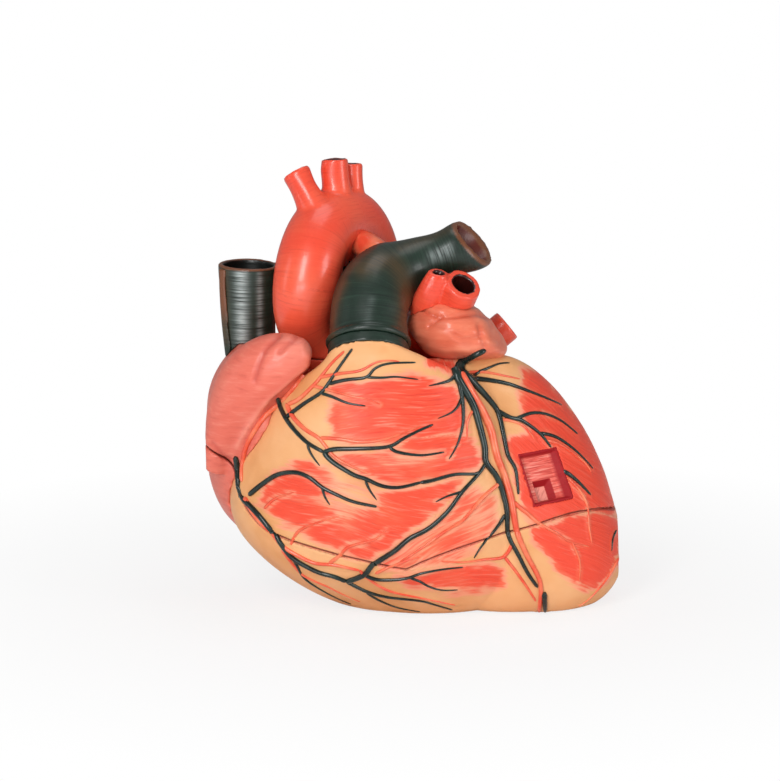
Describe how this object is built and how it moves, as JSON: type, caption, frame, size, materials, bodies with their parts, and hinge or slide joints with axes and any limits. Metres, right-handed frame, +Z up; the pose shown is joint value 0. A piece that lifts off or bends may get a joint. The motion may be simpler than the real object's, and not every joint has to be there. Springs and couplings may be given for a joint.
{
  "type": "heart anatomy model",
  "caption": "Dissectible heart model: the upper heart lifts off the lower section at a seam through both ventricles, and the aorta with the pulmonary trunk lifts off its seats.",
  "frame": {"origin": "on the table, under the middle of the model's box", "axes": "+Z up, +Y towards the back of the heart, +X towards the heart's own left side, where the apex is"},
  "size_m": [0.2601, 0.1684, 0.2776],
  "materials": {
    "heart_wall": "glossy painted vinyl",
    "right_atrium_wall": "glossy painted vinyl",
    "left_atrium_wall": "glossy painted vinyl",
    "red_vessel": "glossy painted vinyl",
    "green_vessel": "glossy painted vinyl",
    "small_vein": "glossy painted vinyl",
    "small_artery": "glossy painted vinyl",
    "valve_tissue": "satin painted vinyl",
    "inner_muscle": "satin painted vinyl",
    "pin": "brushed steel"
  },
  "bodies": {
    "lower_section": {"great_cardiac_vein_lower": "small_vein", "left_coronary_artery_lower": "small_artery", "lower_vena_cava": "green_vessel", "middle_cardiac_vein_lower": "small_vein", "moderator_band": "inner_muscle", "posterior_artery_lower": "small_artery", "right_atrium_lower": "right_atrium_wall", "right_coronary_artery_lower": "small_artery", "seam_pin_1": "pin", "seam_pin_2": "pin", "seam_pin_3": "pin", "small_cardiac_veins_lower": "small_vein", "ventricles_lower": "heart_wall"},
    "upper_section": {"aortic_seat": "red_vessel", "aortic_valve": "valve_tissue", "azygos_vein": "green_vessel", "circumflex_artery": "small_artery", "coronary_sinus": "small_vein", "great_cardiac_vein_upper": "small_vein", "left_atrium": "left_atrium_wall", "left_auricle": "left_atrium_wall", "left_coronary_artery_upper": "small_artery", "left_lower_pulmonary_vein": "red_vessel", "left_upper_pulmonary_veins": "red_vessel", "middle_cardiac_vein_upper": "small_vein", "mitral_cords": "valve_tissue", "mitral_muscles": "inner_muscle", "mitral_valve": "valve_tissue", "posterior_artery_upper": "small_artery", "pulmonary_seat": "green_vessel", "pulmonary_valve": "valve_tissue", "right_atrium_upper": "right_atrium_wall", "right_auricle": "right_atrium_wall", "right_coronary_artery_upper": "small_artery", "right_lower_pulmonary_vein": "red_vessel", "right_upper_pulmonary_vein": "red_vessel", "small_cardiac_veins_upper": "small_vein", "tricuspid_cords": "valve_tissue", "tricuspid_muscles": "inner_muscle", "tricuspid_valve": "valve_tissue", "upper_vena_cava": "green_vessel", "ventricles_upper": "heart_wall"},
    "great_vessels": {"aortic_arch": "red_vessel", "arterial_ligament": "valve_tissue", "brachiocephalic_artery": "red_vessel", "left_carotid_artery": "red_vessel", "left_subclavian_artery": "red_vessel", "pulmonary_trunk": "green_vessel", "right_pulmonary_artery": "green_vessel"}
  },
  "joints": [
    {"name": "upper_heart_lift", "type": "slide", "parent": "lower_section", "child": "upper_section", "axis": [0, 0, 1], "range_m": [0, 0.12]},
    {"name": "great_vessels_lift", "type": "slide", "parent": "upper_section", "child": "great_vessels", "axis": [0, 0, 1], "range_m": [0, 0.1]}
  ]
}
